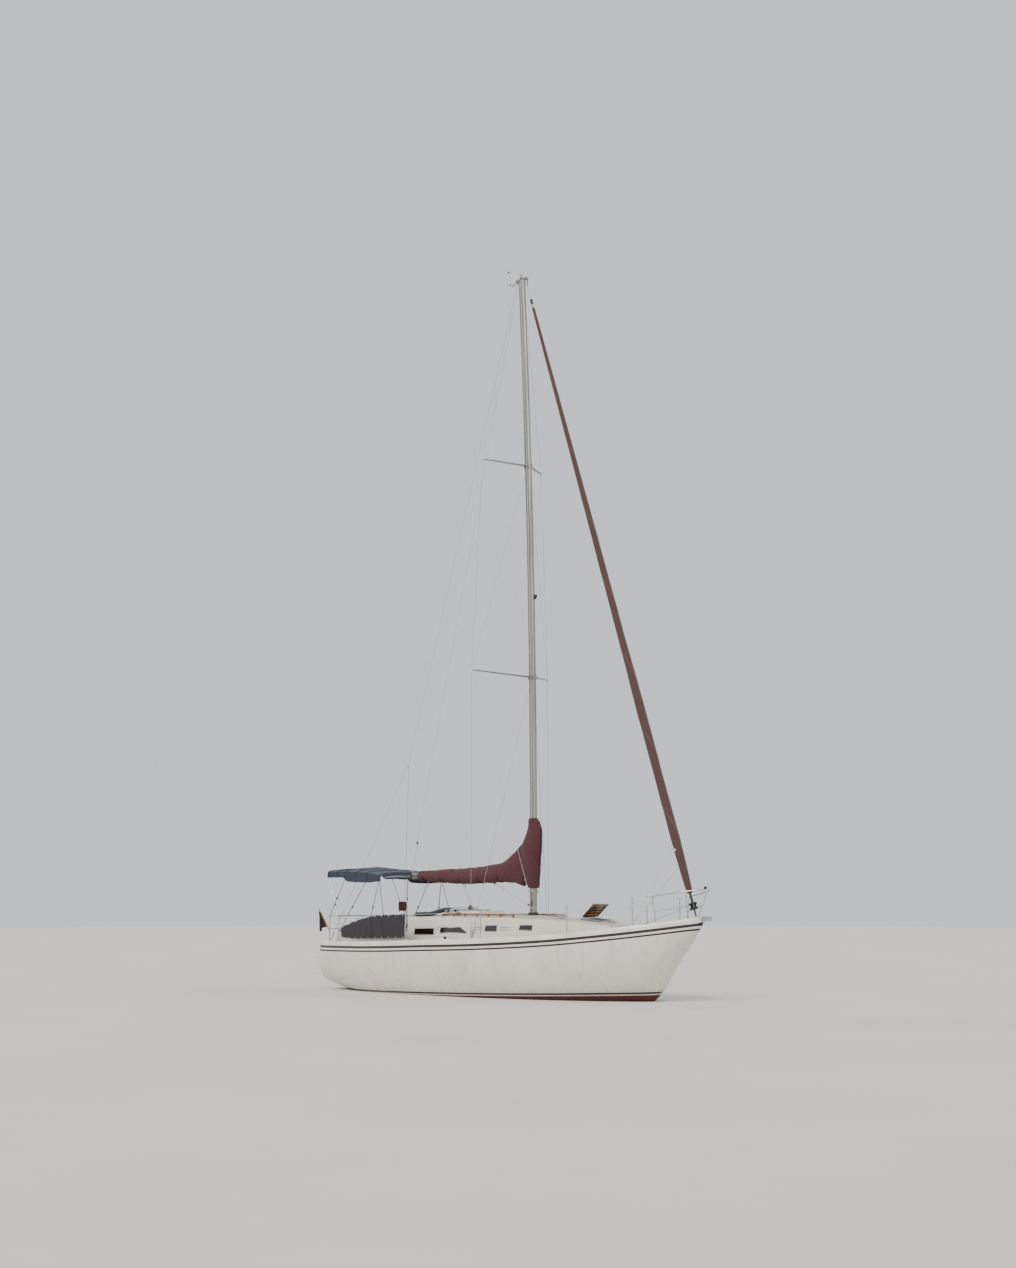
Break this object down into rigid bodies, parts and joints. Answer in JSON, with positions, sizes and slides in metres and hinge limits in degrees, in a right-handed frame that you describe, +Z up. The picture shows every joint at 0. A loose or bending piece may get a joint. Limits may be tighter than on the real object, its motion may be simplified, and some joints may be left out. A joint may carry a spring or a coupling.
{
  "type": "sailing yacht, masthead sloop",
  "caption": "Cruising sloop afloat with fin keel, spade rudder, double-spreader mast, covered boom, furled jib, bimini and open forehatch.",
  "frame": {"origin": "on the waterline plane, amidships, on the centreline", "axes": "+X forward, +Y to port, +Z up; the waterline is z = 0"},
  "size_m": [10.7875, 3.56, 18.2007],
  "materials": {
    "gelcoat": "gloss white gelcoat with two dark sheer lines and a dark boot stripe",
    "deck_gelcoat": "satin gelcoat with moulded non-slip panels",
    "antifouling": "matt dark red-brown antifouling paint",
    "bronze": "dull cast bronze",
    "stainless": "polished and wire-drawn stainless steel",
    "alloy": "satin silver-grey anodised aluminium",
    "teak": "oiled teak",
    "acrylic": "amber tinted acrylic",
    "maroon_cloth": "woven acrylic canvas",
    "navy_cloth": "woven acrylic canvas",
    "iron": "painted cast iron block",
    "black_plastic": "black moulded plastic"
  },
  "bodies": {
    "yacht": {"hull_aft": "gelcoat", "hull_middle": "gelcoat", "hull_fore": "gelcoat", "deck_cockpit": "deck_gelcoat", "deck_middle": "deck_gelcoat", "deck_fore": "deck_gelcoat", "toe_rail_port": "gelcoat", "toe_rail_starboard": "gelcoat", "keel": "antifouling", "shaft_strut": "bronze", "engine": "iron", "forehatch_frame": "alloy", "washboard": "acrylic", "steering_pedestal": "gelcoat", "primary_winch_port": "stainless", "roof_winch_port": "stainless", "primary_winch_starboard": "stainless", "roof_winch_starboard": "stainless", "grab_rail_port": "teak", "grab_rail_starboard": "teak", "mast": "alloy", "masthead_crane": "alloy", "lower_spreader_port": "alloy", "lower_spreader_starboard": "alloy", "upper_spreader_port": "alloy", "upper_spreader_starboard": "alloy", "cap_shroud_port": "stainless", "lower_shroud_port": "stainless", "middle_shroud_port": "stainless", "cap_shroud_starboard": "stainless", "lower_shroud_starboard": "stainless", "middle_shroud_starboard": "stainless", "backstay": "stainless", "forestay": "stainless", "furled_jib": "navy_cloth", "furler_drum": "black_plastic", "sail_cover_mast": "maroon_cloth", "lifelines_port": "stainless", "lifelines_starboard": "stainless", "weather_cloth_port": "navy_cloth", "weather_cloth_starboard": "navy_cloth", "pulpit": "stainless", "pushpit": "stainless", "stem_fitting": "stainless", "ensign_staff": "teak", "bimini_canopy": "navy_cloth", "bimini_frame": "stainless", "folded_sprayhood": "navy_cloth"},
    "boom": {"boom": "alloy", "sail_cover_boom": "maroon_cloth"},
    "rudder": {"rudder": "antifouling"},
    "steering_wheel": {"steering_wheel": "stainless"},
    "propeller": {"propeller": "bronze", "propeller_shaft": "stainless"},
    "forehatch_lid": {"forehatch_lid": "acrylic"},
    "anchor_locker_lid": {"anchor_locker_lid": "deck_gelcoat"},
    "cockpit_locker_lid_port": {"cockpit_locker_lid_port": "teak"},
    "cockpit_locker_lid_starboard": {"cockpit_locker_lid_starboard": "teak"},
    "companionway_hatch": {"companionway_hatch": "acrylic"}
  },
  "joints": [
    {"name": "boom_swing", "type": "hinge", "parent": "yacht", "child": "boom", "pos_m": [0.712, 0, 2.5], "axis": [-0.0228, 0, 0.9997], "range_deg": [-55, 55]},
    {"name": "rudder_turn", "type": "hinge", "parent": "yacht", "child": "rudder", "pos_m": [-4.01, 0, -0.2], "axis": [0, 0, 1], "range_deg": [-35, 35]},
    {"name": "wheel_turn", "type": "hinge", "parent": "yacht", "child": "steering_wheel", "pos_m": [-3.72, 0, 1.2903], "axis": [1, 0, 0], "range_deg": [-270, 270]},
    {"name": "propeller_turn", "type": "hinge", "parent": "yacht", "child": "propeller", "pos_m": [-3.5, 0, -0.46], "axis": [0.9753, 0, 0.2211], "continuous": true},
    {"name": "forehatch_hinge", "type": "hinge", "parent": "yacht", "child": "forehatch_lid", "pos_m": [2.48393, 0, 1.67037], "axis": [0, -1, 0], "range_deg": [-44, 46]},
    {"name": "anchor_lid_hinge", "type": "hinge", "parent": "yacht", "child": "anchor_locker_lid", "pos_m": [4.33, 0, 1.49491], "axis": [0, -1, 0], "range_deg": [0, 95]},
    {"name": "locker_hinge_port", "type": "hinge", "parent": "yacht", "child": "cockpit_locker_lid_port", "pos_m": [-2.8, 0.89, 0.944], "axis": [-1, 0, 0], "range_deg": [0, 80]},
    {"name": "locker_hinge_starboard", "type": "hinge", "parent": "yacht", "child": "cockpit_locker_lid_starboard", "pos_m": [-2.8, -0.89, 0.944], "axis": [1, 0, 0], "range_deg": [0, 80]},
    {"name": "companionway_slide", "type": "slide", "parent": "yacht", "child": "companionway_hatch", "axis": [1, 0, 0], "range_m": [0, 0.62]}
  ],
  "couplings": [
    {"joint": "wheel_turn", "follows": "rudder_turn", "ratio": 7.7}
  ]
}
